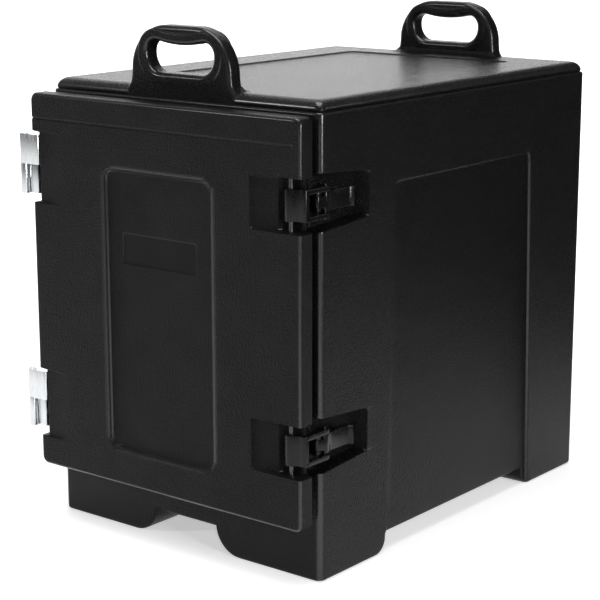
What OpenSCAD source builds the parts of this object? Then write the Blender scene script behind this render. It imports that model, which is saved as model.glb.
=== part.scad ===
// Front-loading insulated food carrier: a double-wall plastic cabinet with top handles and moulded feet,
// a door on two lift-off hinges, and two draw latches on the side opposite the hinges.
// The door faces -Y, the hinges are on -X and the latches on +X. The floor is z = 0.

/* [Cabinet] */
// Width over the side walls
cabinet_w = 438; // [430:1:450]
// Depth from the front frame to the back wall
cabinet_d = 600; // [590:1:640]
// Height of the side walls, up to the ledge under the rounded top
ledge_z = 571; // [565:1:580]
// Height of the rounded top above the ledge
cap_h = 14; // [12:1:18]
// How far the side walls stand proud of the rounded top
ledge_step = 2; // [1:0.5:4]
// Height of the cut-out between the feet, seen from the front
front_arch_h = 35; // [28:1:38]
// Height of the cut-out between the feet, seen from the side
side_arch_h = 24; // [22:1:30]
// Depth of the recessed side panels
side_panel_depth = 4; // [2:0.5:4]
// Plastic skin thickness
skin = 5; // [4:0.5:6]

/* [Top handles] */
// Height of a handle above the top
handle_h = 75; // [70:1:85]
// Thickness of a handle, front to back
handle_t = 25; // [22:1:30]
// Half of the width of the hand hole
hand_hole_half_w = 54; // [50:1:56]

/* [Cavity] */
// Clear width between the cavity walls, for 325 mm wide pans on the rails
cavity_w = 340; // [336:1:344]
// Cavity floor above the ground
cavity_z0 = 110; // [108:1:114]
// Clear height of the cavity
cavity_h = 440; // [436:1:442]
// Clear depth of the cavity, for 530 mm long pans
cavity_d = 555; // [550:1:560]
// Number of rails on each wall
rail_count = 6; // [4:1:6]
// How far a rail stands out of the wall
rail_reach = 18; // [14:1:20]

/* [Door] */
// Width of the door
door_w = 440; // [438:1:440]
// Bottom edge of the door above the ground
door_z0 = 75; // [74:1:78]
// Height of the door
door_h = 494; // [492:1:496]
// Thickness of the door at its edge
door_t = 24; // [24:0.5:26]
// Space between the back of the door and the cabinet's front frame
door_gap = 16; // [15:0.5:18]

/* [Hinges] */
// Height of the upper hinge's joint line
upper_hinge_z = 476; // [470:1:480]
// Height of the lower hinge's joint line
lower_hinge_z = 162; // [156:1:168]
// Half the length of a hinge barrel
hinge_half_l = 39; // [36:1:40]
// Distance from the middle of the cabinet out to the hinge axis
hinge_out = 239; // [238:0.5:242]
// Hinge axis behind the face of the door
hinge_back = 6; // [5.5:0.5:7]

/* [Latches] */
// Height of the middle of the upper latch
upper_latch_z = 467; // [460:1:470]
// Height of the middle of the lower latch
lower_latch_z = 173; // [168:1:180]
// Height of the hook
hook_h = 38; // [36:1:40]

/* [Hidden] */

$fn = 64;
past = 1;                      // how far a cutting shape runs past the face that it cuts
half_w = cabinet_w / 2;
door_half_w = door_w / 2;
front_y = door_t + door_gap;   // cabinet front frame, measured back from the face of the door
back_y = front_y + cabinet_d;
mid_y = front_y + cabinet_d / 2;
top_z = ledge_z + cap_h;
hinge_zs = [upper_hinge_z, lower_hinge_z];
latch_zs = [upper_latch_z, lower_latch_z];
boss_margin = 8;               // solid plastic left around a fastener's seat

// The whole model is drawn from the middle of the cabinet and the face of the door,
// then moved so that the middle of its footprint is the origin.
knuckle_r = 5.75;
origin_x = (hinge_out + knuckle_r - door_half_w) / 2;
origin_y = -back_y / 2;

// Feet and arches
foot_inner_x = 52;
foot_inner_r = 36;
front_foot_y = 174;
back_foot_y = 504;
side_foot_r = 18;

// Recessed side panel, wider at the bottom
panel_top_z = 474;
panel_corner_r = 8;
panel_front_y = [176, 188];
panel_back_y = [518, 502];

// Latch pocket in the cabinet side
pocket_depth = 17;
pocket_front_half_h = 34;
pocket_back_half_h = 27;
pocket_floor_back_y = 128;
pocket_rim_back_y = 134;

// Insulated core inside the cabinet skin
core_half_w = half_w - skin - 2;
core_z0 = 41;
core_top_z = top_z - 11;
liner_skin = skin;
liner_half_w = cavity_w / 2 + liner_skin;
liner_z0 = cavity_z0 - liner_skin;
liner_z1 = cavity_z0 + cavity_h + liner_skin;
rail_t = 12;
rail_first_z = 14;
rail_start = 22;
rail_pitch = 70;

// Door face details
panel_x = -4;
panel_w = 172;
panel_z0 = 125;
panel_z1 = 482;
panel_depth = 4;
name_pad_w = 122;
name_pad_z0 = 366;
name_pad_z1 = 405;
name_pad_depth = 1.5;
band_groove_z = 538;
hinge_scallop_w = 50;
hinge_notch = 11;
notch_below = 48;
notch_above = 44;
door_pocket_half_h = 32;
door_core_front = 10;
inner_panel_t = 4;
plug_half_w = 172;
plug_z0 = 109;
plug_z1 = 549;
plug_y = 37;
gasket_in_half_w = 177;
gasket_width = 12;
gasket_z0 = 104;
gasket_z1 = 554;
gasket_clear = 0.3;

// Hinge details; screw heights are measured from a hinge's joint line
hinge_x = -hinge_out;
door_leaf_x = -door_half_w + hinge_notch;
door_screw_dzs = [-20, 20];
body_screw_dzs = [-30, -10];
leaf_t = 2.5;
hinge_pin_r = 3;
pin_clear = 0.05;
knuckle_gap = 0.4;
body_leaf_end_y = 88;
door_screw_y = 15;
body_screw_y = 68;
hinge_screw_r = 2;
screw_head_r = 4.5;
screw_head_h = 2.2;
screw_l = 14;
insert_r = 3.6;
insert_l = 15;
screw_hole_clear = 0.1;

// Latch details, seen from above: [x, y] of the keeper, the lever's pivot and the hook's pivot
keeper_xy = [197, 12];
lever_pivot_xy = [210, 44];
hook_pivot_xy = [213.5, 54.5];
keeper_r = 3;
keeper_half_l = 37;
hook_in_r = 4.2;
hook_out_r = 8;
hook_lip_deg = 215;
hook_plate_y = [10.5, 15];
hook_outer_x = 219.5;
hook_arm_t = 5;
hook_arm_h = 6;
hook_boss_r = 6;
hook_pin_r = 2.2;
hook_pin_half_l = 21;
hook_pin_clear = 0.08;
lever_h = 24;
lever_knuckle_h = 14;
lever_knuckle_r = 5;
lever_boss_r = 4.5;
lever_pin_r = 2.5;
lever_pin_half_l = 12.5;
lever_t = 4.5;
lever_end_y = 108;
lug_h = 4.5;
lug_gap = 0.5;
bracket_t = 2;
bracket_y = [41, 92];
bracket_half_h = 12;
latch_screw_ys = [70, 84];
latch_screw_head_r = 4;
latch_screw_head_h = 1.2;
pocket_floor_x = half_w - pocket_depth;

// ---------- shared shapes ----------

module place() {
    translate([origin_x, origin_y, 0]) children();
}

// Rectangle with true round corners
module rounded_rect(w, h, r) {
    square([w - 2 * r, h], center = true);
    square([w, h - 2 * r], center = true);
    for (sx = [-1, 1], sy = [-1, 1]) {
        translate([sx * (w / 2 - r), sy * (h / 2 - r)]) circle(r = r);
    }
}

// A drawing of the front view (x, z), standing from y0 to y1
module from_front(y0, y1) {
    translate([0, y1, 0]) rotate([90, 0, 0]) linear_extrude(y1 - y0) children();
}

// A drawing of the side view (y, z), standing from x0 to x1
module from_side(x0, x1) {
    translate([x0, 0, 0]) rotate([90, 0, 90]) linear_extrude(x1 - x0) children();
}

// A drawing of the top view (x, y), standing from z0 to z1
module from_top(z0, z1) {
    translate([0, 0, z0]) linear_extrude(z1 - z0) children();
}

// Box between two corners
module box(lo, hi) {
    translate(lo) cube(hi - lo);
}

// Block standing on z = 0, with its upright edges rounded by upright_r and the others by edge_r
module rounded_block(size, upright_r, edge_r, face_r) {
    intersection() {
        linear_extrude(size.z) rounded_rect(size.x, size.y, upright_r);
        translate([0, 0, size.z / 2]) from_front(-size.y, size.y) rounded_rect(size.x, size.z, face_r);
        translate([0, 0, size.z / 2]) from_side(-size.x, size.x) rounded_rect(size.y, size.z, edge_r);
    }
}

// ---------- cabinet ----------

// Front view of a handle: nearly upright sides, wide round shoulders, and a hand hole that sags at the grip
module handle_outline() {
    shoulder_r = 56;
    shoulder_x = 25;
    root_half_w = 82.5;
    shoulder_z = handle_h - shoulder_r;
    hole_z0 = 17.5;
    hole_h = 38.5;
    hole_low_r = 22;
    hole_top_r = 15;
    grip_sag = 4.5;
    grip_half_w = 38;
    grip_r = (grip_half_w * grip_half_w + grip_sag * grip_sag) / (2 * grip_sag);
    difference() {
        union() {
            intersection() {
                for (side = [-1, 1]) {
                    translate([side * shoulder_x, shoulder_z]) circle(r = shoulder_r, $fn = 96);
                }
                translate([-root_half_w, shoulder_z]) square([2 * root_half_w, shoulder_r]);
            }
            translate([-shoulder_x, shoulder_z]) square([2 * shoulder_x, shoulder_r]);
            polygon([
                [-root_half_w, -cap_h], [root_half_w, -cap_h], [root_half_w, 0],
                [shoulder_x + shoulder_r, shoulder_z], [-shoulder_x - shoulder_r, shoulder_z],
                [-root_half_w, 0]
            ]);
        }
        difference() {
            union() {
                for (side = [-1, 1]) {
                    translate([side * (hand_hole_half_w - hole_low_r), hole_z0 + hole_low_r])
                        circle(r = hole_low_r, $fn = 64);
                    translate([side * (hand_hole_half_w - hole_top_r), hole_z0 + hole_h - hole_top_r])
                        circle(r = hole_top_r, $fn = 64);
                }
                translate([hole_low_r - hand_hole_half_w, hole_z0])
                    square([2 * (hand_hole_half_w - hole_low_r), hole_h]);
                translate([hole_top_r - hand_hole_half_w, hole_z0 + hole_low_r])
                    square([2 * (hand_hole_half_w - hole_top_r), hole_h - hole_low_r]);
            }
            translate([0, hole_z0 + hole_h - grip_sag + grip_r]) circle(r = grip_r, $fn = 128);
        }
    }
}

// Cut-out between the feet, front view: round inner corners on the feet
module front_arch() {
    for (side = [-1, 1]) {
        difference() {
            translate([side > 0 ? foot_inner_x : -foot_inner_x - foot_inner_r, -past])
                square([foot_inner_r, foot_inner_r + past - 1]);
            translate([side * (foot_inner_x + foot_inner_r), foot_inner_r]) circle(r = foot_inner_r);
        }
    }
    translate([-foot_inner_x, -past]) square([2 * foot_inner_x, front_arch_h + past]);
}

// Cut-out between the feet, side view
module side_arch() {
    translate([front_foot_y, -past]) square([back_foot_y - front_foot_y, side_arch_h + past]);
    difference() {
        translate([front_foot_y - side_foot_r, -past]) square([side_foot_r + past, side_foot_r + past]);
        translate([front_foot_y - side_foot_r, side_foot_r]) circle(r = side_foot_r);
    }
    difference() {
        translate([back_foot_y - past, -past]) square([side_foot_r + past, side_foot_r + past]);
        translate([back_foot_y + side_foot_r, side_foot_r]) circle(r = side_foot_r);
    }
}

// Recessed side panel, side view, open at the bottom
module side_panel_outline() {
    r = panel_corner_r;
    polygon([
        [panel_front_y[0], -past], [panel_front_y[1], panel_top_z - r], [panel_front_y[1] + r, panel_top_z],
        [panel_back_y[1] - r, panel_top_z], [panel_back_y[1], panel_top_z - r], [panel_back_y[0], -past]
    ]);
    for (y = [panel_front_y[1] + r, panel_back_y[1] - r]) {
        translate([y, panel_top_z - r]) circle(r = r);
    }
}

// Latch pocket: open to the front and the side, lower at its back end, with a sloping back wall
module cabinet_pocket(z) {
    intersection() {
        from_side(0, half_w + past) polygon([
            [front_y - past, z - pocket_front_half_h], [pocket_rim_back_y, z - pocket_back_half_h],
            [pocket_rim_back_y, z + pocket_back_half_h], [front_y - past, z + pocket_front_half_h]
        ]);
        from_top(z - pocket_front_half_h, z + pocket_front_half_h) polygon([
            [pocket_floor_x, front_y - past], [half_w + past, front_y - past],
            [half_w + past, pocket_rim_back_y + 0.4], [half_w, pocket_rim_back_y],
            [pocket_floor_x, pocket_floor_back_y]
        ]);
    }
}

// Outer shape of the cabinet
module cabinet_outside() {
    cap_r = 12;
    upright_r = 8;
    edge_r = 4;
    cap_depth = 60;
    top_recess_depth = 2;
    top_recess_w = 276;
    top_recess_r = 12;
    top_recess_margin = 65;
    difference() {
        union() {
            translate([0, mid_y, 0])
                rounded_block([cabinet_w, cabinet_d, ledge_z], upright_r, edge_r, edge_r);
            translate([0, mid_y, top_z - cap_depth])
                rounded_block([cabinet_w - 2 * ledge_step, cabinet_d - 2 * ledge_step, cap_depth],
                    upright_r, cap_r, cap_r);
            translate([0, 0, top_z]) from_front(front_y, front_y + handle_t) handle_outline();
            translate([0, 0, top_z]) from_front(back_y - handle_t, back_y) handle_outline();
        }
        // shallow stacking recess between the handles
        from_top(top_z - top_recess_depth, top_z + past)
            translate([0, mid_y]) rounded_rect(top_recess_w, cabinet_d - 2 * top_recess_margin, top_recess_r);
        from_front(0, back_y + past) front_arch();
        from_side(-half_w - past, half_w + past) side_arch();
        for (side = [0, 1]) {
            mirror([side, 0, 0]) from_side(half_w - side_panel_depth, half_w + past) side_panel_outline();
        }
        for (z = latch_zs) cabinet_pocket(z);
    }
}

// Space inside the skin that the foam and the liner fill, with solid plastic left around the fasteners
module cabinet_core() {
    foot_skin = 6;
    foot_core_x = foot_inner_x + foot_inner_r;
    foot_wall = 24;
    boss_in = 24;
    boss_half_h = pocket_front_half_h + boss_margin;
    difference() {
        union() {
            box([-core_half_w, front_y + skin, core_z0], [core_half_w, back_y - skin, core_top_z]);
            for (side = [-1, 1]) {
                x0 = side > 0 ? foot_core_x : -core_half_w + foot_skin;
                x1 = side > 0 ? core_half_w - foot_skin : -foot_core_x;
                box([x0, front_y + foot_skin, foot_skin], [x1, front_foot_y - foot_wall, core_z0 + past]);
                box([x0, back_foot_y + foot_wall, foot_skin], [x1, back_y - foot_skin, core_z0 + past]);
            }
        }
        for (z = latch_zs) {
            box([pocket_floor_x - boss_in, 0, z - boss_half_h],
                [half_w, pocket_rim_back_y + boss_margin, z + boss_half_h]);
        }
        for (z = hinge_zs) {
            box([-half_w, 0, z - hinge_half_l - boss_margin],
                [-half_w + boss_in, body_leaf_end_y + boss_margin, z + boss_margin]);
        }
    }
}

module liner_block() {
    box([-liner_half_w, front_y, liner_z0], [liner_half_w, front_y + cavity_d + liner_skin, liner_z1]);
}

// Screw holes through the cabinet side: x of the face, then y and z, pointing into the wall
module cabinet_insert_holes(r) {
    for (z = hinge_zs, dz = body_screw_dzs) {
        translate([-half_w - past, body_screw_y, z + dz]) rotate([0, 90, 0])
            cylinder(r = r, h = insert_l + past);
    }
    for (z = latch_zs, y = latch_screw_ys) {
        translate([pocket_floor_x - insert_l, y, z]) rotate([0, 90, 0])
            cylinder(r = r, h = insert_l + past);
    }
}

module cabinet_shell() {
    color("#1b1c1e") place() difference() {
        cabinet_outside();
        cabinet_core();
        box([-liner_half_w, front_y - past, liner_z0], [liner_half_w, front_y + skin + past, liner_z1]);
        cabinet_insert_holes(insert_r);
    }
}

module cabinet_liner() {
    color("#232427") place() {
        difference() {
            liner_block();
            box([-cavity_w / 2, front_y - past, cavity_z0],
                [cavity_w / 2, front_y + cavity_d, cavity_z0 + cavity_h]);
        }
        for (side = [-1, 1], i = [0 : rail_count - 1]) {
            z = cavity_z0 + rail_first_z + i * rail_pitch;
            x0 = side > 0 ? cavity_w / 2 - rail_reach : -cavity_w / 2 - past;
            box([x0, front_y + rail_start, z],
                [x0 + rail_reach + past, front_y + cavity_d + past, z + rail_t]);
        }
    }
}

module cabinet_foam() {
    color("#d8cfa8") place() difference() {
        cabinet_core();
        liner_block();
    }
}

// Brass threaded inserts, moulded into the skin
module cabinet_inserts() {
    color("#b08d3f") place() {
        for (z = hinge_zs, dz = body_screw_dzs) {
            translate([-half_w, body_screw_y, z + dz]) rotate([0, 90, 0]) threaded_insert();
        }
        for (z = latch_zs, y = latch_screw_ys) {
            translate([pocket_floor_x, y, z]) rotate([0, -90, 0]) threaded_insert();
        }
    }
}

module threaded_insert() {
    difference() {
        cylinder(r = insert_r, h = insert_l);
        translate([0, 0, -past]) cylinder(r = hinge_screw_r + pin_clear, h = insert_l + 2 * past);
    }
}

// ---------- door ----------

// Latch pocket in the door, seen from above: the floor slopes down towards the latch side and
// the last stretch is cut through, so that the hook's arms can pass
module door_pocket_outline() {
    slope_x = 145;
    polygon([
        [slope_x, -past], [slope_x, 3], [181, 8], [187, 17], [209, 17.5], [211, door_t + past],
        [door_half_w + past, door_t + past], [door_half_w + past, -past]
    ]);
}

module door_outside() {
    corner_r = 9;
    edge_r = 4;
    groove_w = 3;
    groove_depth = 1.5;
    groove_end = 12;
    panel_r = 10;
    pad_r = 3;
    scallop_start = 6;
    scallop_r = 150;
    scallop_depth = 2.5;
    rim_w = 3;
    rim_depth = 1.2;
    panel_h = panel_z1 - panel_z0;
    panel_mid_z = (panel_z0 + panel_z1) / 2;
    difference() {
        translate([0, door_t / 2, door_z0]) rounded_block([door_w, door_t, door_h], edge_r, edge_r, corner_r);
        // line under the plain top band
        box([-door_half_w - past, -past, band_groove_z - groove_w],
            [door_half_w - groove_end, groove_depth, band_groove_z]);
        // central panel with a finer line around it
        from_front(-past, rim_depth) translate([panel_x, panel_mid_z])
            rounded_rect(panel_w + 2 * rim_w, panel_h + 2 * rim_w, panel_r + rim_w);
        from_front(-past, panel_depth) translate([panel_x, panel_mid_z])
            rounded_rect(panel_w, panel_h, panel_r);
        // blank pad for a name
        from_front(-past, panel_depth + name_pad_depth)
            translate([panel_x, (name_pad_z0 + name_pad_z1) / 2])
                rounded_rect(name_pad_w, name_pad_z1 - name_pad_z0, pad_r);
        for (z = hinge_zs) {
            // notch for the hinge, and the shallow hollow beside it
            box([-door_half_w - past, -past, z - notch_below],
                [-door_half_w + hinge_notch, door_t + past, z + notch_above]);
            intersection() {
                box([-door_half_w - past, -past, z - notch_below],
                    [-door_half_w + hinge_scallop_w, scallop_depth + past, z + notch_above]);
                translate([-door_half_w + scallop_start, -scallop_r + scallop_depth, z - notch_below])
                    cylinder(r = scallop_r, h = notch_below + notch_above, $fn = 192);
            }
        }
        for (z = latch_zs) {
            from_top(z - door_pocket_half_h, z + door_pocket_half_h) door_pocket_outline();
        }
    }
}

// Space for the foam and the inner panel, open at the back of the door
module door_core(y0, y1) {
    edge_skin = skin + 1;
    core_half_w = door_half_w - edge_skin;
    hinge_block_w = 36;
    latch_block_x = 138;
    latch_block_half_h = keeper_half_l + 4;
    difference() {
        box([-core_half_w, y0, door_z0 + edge_skin], [core_half_w, y1, door_z0 + door_h - edge_skin]);
        for (z = hinge_zs) {
            box([-door_half_w, y0 - past, z - notch_below - skin],
                [-door_half_w + hinge_block_w, y1 + past, z + notch_above + skin]);
        }
        for (z = latch_zs) {
            box([latch_block_x, y0 - past, z - latch_block_half_h],
                [door_half_w, y1 + past, z + latch_block_half_h]);
        }
    }
}

module door_shell() {
    color("#202123") place() difference() {
        door_outside();
        door_core(door_core_front, door_t + past);
        for (z = latch_zs) {
            translate([keeper_xy[0], keeper_xy[1], z - keeper_half_l])
                cylinder(r = keeper_r + pin_clear, h = 2 * keeper_half_l);
        }
        for (z = hinge_zs, dz = door_screw_dzs) {
            translate([-door_half_w + hinge_notch - past, door_screw_y, z + dz])
                rotate([0, 90, 0]) cylinder(r = insert_r, h = insert_l + past);
        }
    }
}

module door_inner_panel() {
    color("#26272a") place() {
        door_core(door_t - inner_panel_t, door_t);
        box([-plug_half_w, door_t, plug_z0], [plug_half_w, plug_y, plug_z1]);
    }
}

module door_foam() {
    color("#d8cfa8") place() door_core(door_core_front, door_t - inner_panel_t);
}

module door_gasket() {
    outer_w = 2 * (gasket_in_half_w + gasket_width);
    outer_h = gasket_z1 - gasket_z0 + 2 * gasket_width;
    outer_r = 14;
    inner_r = 3;
    color("#0f0f10") place() from_front(door_t, front_y - gasket_clear)
        translate([0, (gasket_z0 + gasket_z1) / 2]) difference() {
            rounded_rect(outer_w, outer_h, outer_r);
            rounded_rect(2 * gasket_in_half_w, gasket_z1 - gasket_z0, inner_r);
        }
}

module door_inserts() {
    color("#b08d3f") place() for (z = hinge_zs, dz = door_screw_dzs) {
        translate([-door_half_w + hinge_notch, door_screw_y, z + dz]) rotate([0, 90, 0]) threaded_insert();
    }
}

// ---------- hinges ----------

// Upper half of a hinge barrel, with a strap from its front that turns back along the door's notch
module hinge_door_leaf(z) {
    front = hinge_back - knuckle_r;
    difference() {
        union() {
            translate([hinge_x, hinge_back, z + knuckle_gap / 2])
                cylinder(r = knuckle_r, h = hinge_half_l - knuckle_gap / 2);
            box([hinge_x, front, z + knuckle_gap / 2], [door_leaf_x, front + leaf_t, z + hinge_half_l]);
            box([door_leaf_x - leaf_t, front, z - hinge_half_l], [door_leaf_x, door_t - 2, z + hinge_half_l]);
        }
        translate([hinge_x, hinge_back, z - past])
            cylinder(r = hinge_pin_r + pin_clear, h = hinge_half_l + 2 * past);
        for (dz = door_screw_dzs) {
            translate([door_leaf_x - leaf_t - past, door_screw_y, z + dz]) rotate([0, 90, 0])
                cylinder(r = hinge_screw_r + screw_hole_clear, h = leaf_t + 2 * past);
        }
    }
}

// Lower half of a hinge barrel, with a strap from its back that turns along the cabinet's side
module hinge_body_leaf(z) {
    back = hinge_back + knuckle_r;
    difference() {
        union() {
            translate([hinge_x, hinge_back, z - hinge_half_l])
                cylinder(r = knuckle_r, h = hinge_half_l - knuckle_gap / 2);
            box([hinge_x, back - leaf_t, z - hinge_half_l], [-half_w, back, z - knuckle_gap / 2]);
            box([-half_w - leaf_t, back - leaf_t, z - hinge_half_l],
                [-half_w, body_leaf_end_y, z - knuckle_gap / 2]);
        }
        translate([hinge_x, hinge_back, z - hinge_half_l - past])
            cylinder(r = hinge_pin_r + pin_clear, h = hinge_half_l + 2 * past);
        for (dz = body_screw_dzs) {
            translate([-half_w - leaf_t - past, body_screw_y, z + dz]) rotate([0, 90, 0])
                cylinder(r = hinge_screw_r + screw_hole_clear, h = leaf_t + 2 * past);
        }
    }
}

// The pin is fixed in the lower knuckle, so the door lifts off it
module hinge_pin(z) {
    tip = 1.2;
    translate([hinge_x, hinge_back, z - hinge_half_l]) {
        cylinder(r = hinge_pin_r, h = 2 * hinge_half_l - tip);
        translate([0, 0, 2 * hinge_half_l - tip]) cylinder(r1 = hinge_pin_r, r2 = hinge_pin_r - tip, h = tip);
    }
}

// Pan-head screw pointing along +X, with the underside of its head at the origin
module screw_x(head_r, head_h) {
    rotate([0, 90, 0]) {
        cylinder(r = hinge_screw_r, h = screw_l);
        translate([0, 0, -head_h]) cylinder(r = head_r, h = head_h);
    }
}

module upper_hinge_door_leaf() {
    color("#c9ccd0") place() hinge_door_leaf(upper_hinge_z);
}

module upper_hinge_body_leaf() {
    color("#c9ccd0") place() hinge_body_leaf(upper_hinge_z);
}

module upper_hinge_pin() {
    color("#b9bcc0") place() hinge_pin(upper_hinge_z);
}

module lower_hinge_door_leaf() {
    color("#c9ccd0") place() hinge_door_leaf(lower_hinge_z);
}

module lower_hinge_body_leaf() {
    color("#c9ccd0") place() hinge_body_leaf(lower_hinge_z);
}

module lower_hinge_pin() {
    color("#b9bcc0") place() hinge_pin(lower_hinge_z);
}

module hinge_door_screws() {
    color("#b9bcc0") place() for (z = hinge_zs, dz = door_screw_dzs) {
        translate([door_leaf_x - leaf_t, door_screw_y, z + dz]) screw_x(screw_head_r, screw_head_h);
    }
}

module hinge_body_screws() {
    color("#b9bcc0") place() for (z = hinge_zs, dz = body_screw_dzs) {
        translate([-half_w - leaf_t, body_screw_y, z + dz]) screw_x(screw_head_r, screw_head_h);
    }
}

// ---------- latches ----------

module keeper_pin(z) {
    translate([keeper_xy[0], keeper_xy[1], z - keeper_half_l]) cylinder(r = keeper_r, h = 2 * keeper_half_l);
}

// Seen from above: the J that holds the keeper from the front, and the plate beside it
module hook_jaw_outline() {
    r = hook_out_r;
    plate_corner_r = 4;
    lip = [cos(hook_lip_deg), sin(hook_lip_deg)];
    plate_back = hook_plate_y[1] - keeper_xy[1];
    difference() {
        union() {
            translate(keeper_xy) circle(r = r);
            translate([keeper_xy[0], hook_plate_y[0]])
                square([hook_outer_x - keeper_xy[0] - plate_corner_r, hook_plate_y[1] - hook_plate_y[0]]);
            translate([hook_outer_x - plate_corner_r, hook_plate_y[0] + plate_corner_r])
                circle(r = plate_corner_r);
            translate([hook_outer_x - hook_arm_t, hook_plate_y[0] + plate_corner_r])
                square([hook_arm_t, hook_plate_y[1] - hook_plate_y[0] - plate_corner_r + 1]);
        }
        translate(keeper_xy) circle(r = hook_in_r);
        // the mouth, from the lip round to the back of the plate, through which the keeper comes in
        translate(keeper_xy) polygon([
            [0, 0], 2 * r * lip, [-2 * r, 0], [-2 * r, 2 * r], [2 * r, 2 * r],
            [2 * r, plate_back], [0, plate_back]
        ]);
    }
}

// One arm, seen from above, from the plate back to the boss at the hook's pivot
module hook_arm_outline() {
    translate([hook_outer_x - hook_arm_t, hook_plate_y[0] + 2])
        square([hook_arm_t, hook_pivot_xy[1] - hook_plate_y[0] - 2]);
    translate(hook_pivot_xy) circle(r = hook_boss_r);
}

module hook(z) {
    difference() {
        union() {
            from_top(z - hook_h / 2, z + hook_h / 2) hook_jaw_outline();
            from_top(z - hook_h / 2, z - hook_h / 2 + hook_arm_h) hook_arm_outline();
            from_top(z + hook_h / 2 - hook_arm_h, z + hook_h / 2) hook_arm_outline();
        }
        translate([hook_pivot_xy[0], hook_pivot_xy[1], z - hook_h])
            cylinder(r = hook_pin_r + hook_pin_clear, h = 2 * hook_h);
    }
}

module hook_pin(z) {
    translate([hook_pivot_xy[0], hook_pivot_xy[1], z - hook_pin_half_l])
        cylinder(r = hook_pin_r, h = 2 * hook_pin_half_l);
}

// The lever turns in the bracket at its front end; its back end curls out for the fingers
module lever(z) {
    grip_out = 5;
    grip_l = 9;
    plate_x = 209;
    difference() {
        union() {
            from_top(z - lever_knuckle_h / 2, z + lever_knuckle_h / 2) {
                translate(lever_pivot_xy) circle(r = lever_knuckle_r);
                polygon([
                    lever_pivot_xy + [-4, 2], lever_pivot_xy + [4.5, -1],
                    hook_pivot_xy + [4, -1], hook_pivot_xy + [-4.4, 1]
                ]);
            }
            from_top(z - lever_h / 2, z + lever_h / 2) {
                translate(hook_pivot_xy) circle(r = lever_boss_r);
                polygon([
                    hook_pivot_xy + [-4.5, 0], hook_pivot_xy + [4.5, 0], [plate_x + lever_t, 70],
                    [plate_x + lever_t, lever_end_y - grip_l],
                    [plate_x + lever_t + grip_out, lever_end_y - 2],
                    [plate_x + lever_t + grip_out - 3, lever_end_y],
                    [plate_x, lever_end_y - grip_l + 2], [plate_x, 62]
                ]);
            }
        }
        translate([lever_pivot_xy[0], lever_pivot_xy[1], z - lever_h])
            cylinder(r = lever_pin_r + pin_clear, h = 2 * lever_h);
        translate([hook_pivot_xy[0], hook_pivot_xy[1], z - lever_h])
            cylinder(r = hook_pin_r + pin_clear, h = 2 * lever_h);
    }
}

module lever_pin(z) {
    translate([lever_pivot_xy[0], lever_pivot_xy[1], z - lever_pin_half_l])
        cylinder(r = lever_pin_r, h = 2 * lever_pin_half_l);
}

// Plate on the pocket floor, with two lugs that carry the lever's pin
module latch_bracket(z) {
    lug_r = 5;
    lug_z = lever_knuckle_h / 2 + lug_gap;
    difference() {
        union() {
            box([pocket_floor_x, bracket_y[0], z - bracket_half_h],
                [pocket_floor_x + bracket_t, bracket_y[1], z + bracket_half_h]);
            for (z0 = [z - lug_z - lug_h, z + lug_z]) {
                from_top(z0, z0 + lug_h) {
                    translate(lever_pivot_xy) circle(r = lug_r);
                    translate([pocket_floor_x, lever_pivot_xy[1] - lug_r + 2])
                        square([lever_pivot_xy[0] - pocket_floor_x, 2 * lug_r - 2]);
                }
            }
        }
        translate([lever_pivot_xy[0], lever_pivot_xy[1], z - lever_h])
            cylinder(r = lever_pin_r + pin_clear, h = 2 * lever_h);
        for (y = latch_screw_ys) {
            translate([pocket_floor_x - past, y, z]) rotate([0, 90, 0])
                cylinder(r = hinge_screw_r + screw_hole_clear, h = bracket_t + 2 * past);
        }
    }
}

module upper_keeper_pin() {
    color("#8f9296") place() keeper_pin(upper_latch_z);
}

module upper_hook() {
    color("#17181a") place() hook(upper_latch_z);
}

module upper_hook_pin() {
    color("#8f9296") place() hook_pin(upper_latch_z);
}

module upper_lever() {
    color("#17181a") place() lever(upper_latch_z);
}

module upper_lever_pin() {
    color("#8f9296") place() lever_pin(upper_latch_z);
}

module upper_latch_bracket() {
    color("#141517") place() latch_bracket(upper_latch_z);
}

module lower_keeper_pin() {
    color("#8f9296") place() keeper_pin(lower_latch_z);
}

module lower_hook() {
    color("#17181a") place() hook(lower_latch_z);
}

module lower_hook_pin() {
    color("#8f9296") place() hook_pin(lower_latch_z);
}

module lower_lever() {
    color("#17181a") place() lever(lower_latch_z);
}

module lower_lever_pin() {
    color("#8f9296") place() lever_pin(lower_latch_z);
}

module lower_latch_bracket() {
    color("#141517") place() latch_bracket(lower_latch_z);
}

module latch_screws() {
    color("#8f9296") place() for (z = latch_zs, y = latch_screw_ys) {
        translate([pocket_floor_x + bracket_t, y, z]) mirror([1, 0, 0])
            screw_x(latch_screw_head_r, latch_screw_head_h);
    }
}

cabinet_shell();
cabinet_liner();
cabinet_foam();
cabinet_inserts();
door_shell();
door_inner_panel();
door_foam();
door_gasket();
door_inserts();
upper_hinge_door_leaf();
upper_hinge_body_leaf();
upper_hinge_pin();
lower_hinge_door_leaf();
lower_hinge_body_leaf();
lower_hinge_pin();
hinge_door_screws();
hinge_body_screws();
upper_keeper_pin();
upper_hook();
upper_hook_pin();
upper_lever();
upper_lever_pin();
upper_latch_bracket();
lower_keeper_pin();
lower_hook();
lower_hook_pin();
lower_lever();
lower_lever_pin();
lower_latch_bracket();
latch_screws();
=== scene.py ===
import math

import bpy
import numpy as np
from mathutils import Matrix, Vector
from mathutils.geometry import tessellate_polygon


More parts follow.
